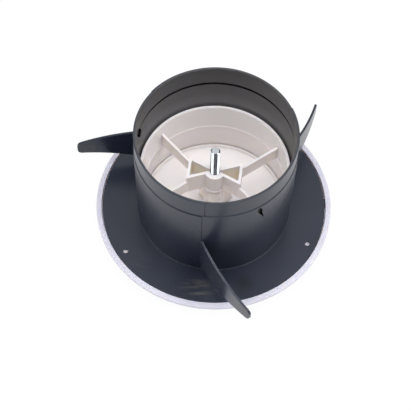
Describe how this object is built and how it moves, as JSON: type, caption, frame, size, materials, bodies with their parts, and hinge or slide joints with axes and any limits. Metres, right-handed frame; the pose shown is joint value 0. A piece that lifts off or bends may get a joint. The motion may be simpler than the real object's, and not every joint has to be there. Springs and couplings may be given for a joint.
{
  "type": "ventilation disc valve",
  "caption": "Round duct disc valve: a black push-in collar with curved fins holds a white rimmed body whose disc screws in and out on a steel spindle.",
  "frame": {"origin": "on the duct axis, in the plane of the collar flange's back, which lies against the wall or ceiling", "axes": "+Z along the duct axis, from the room into the duct; the hub's bow-tie lies about 6 degrees from the X axis"},
  "size_m": [0.1649, 0.1663, 0.091],
  "materials": {
    "black_plastic": "satin moulded plastic, slate black",
    "white_plastic": "smooth moulded plastic, warm white",
    "zinc_steel": "bright zinc plating"
  },
  "bodies": {
    "housing": {"mounting_collar": "black_plastic", "valve_body": "white_plastic", "hub_nut": "zinc_steel"},
    "screw": {"spindle": "zinc_steel"},
    "disc": {"valve_disc": "white_plastic"}
  },
  "joints": [
    {"name": "spindle_travel", "type": "slide", "parent": "housing", "child": "screw", "axis": [0, 0, -1], "range_m": [0, 0.0141]},
    {"name": "disc_turn", "type": "hinge", "parent": "screw", "child": "disc", "pos_m": [0, 0, 0], "axis": [0, 0, -1], "range_deg": [0, 5040]}
  ],
  "couplings": [
    {"joint": "spindle_travel", "follows": "disc_turn", "m_per_rad": 0.00015915}
  ]
}
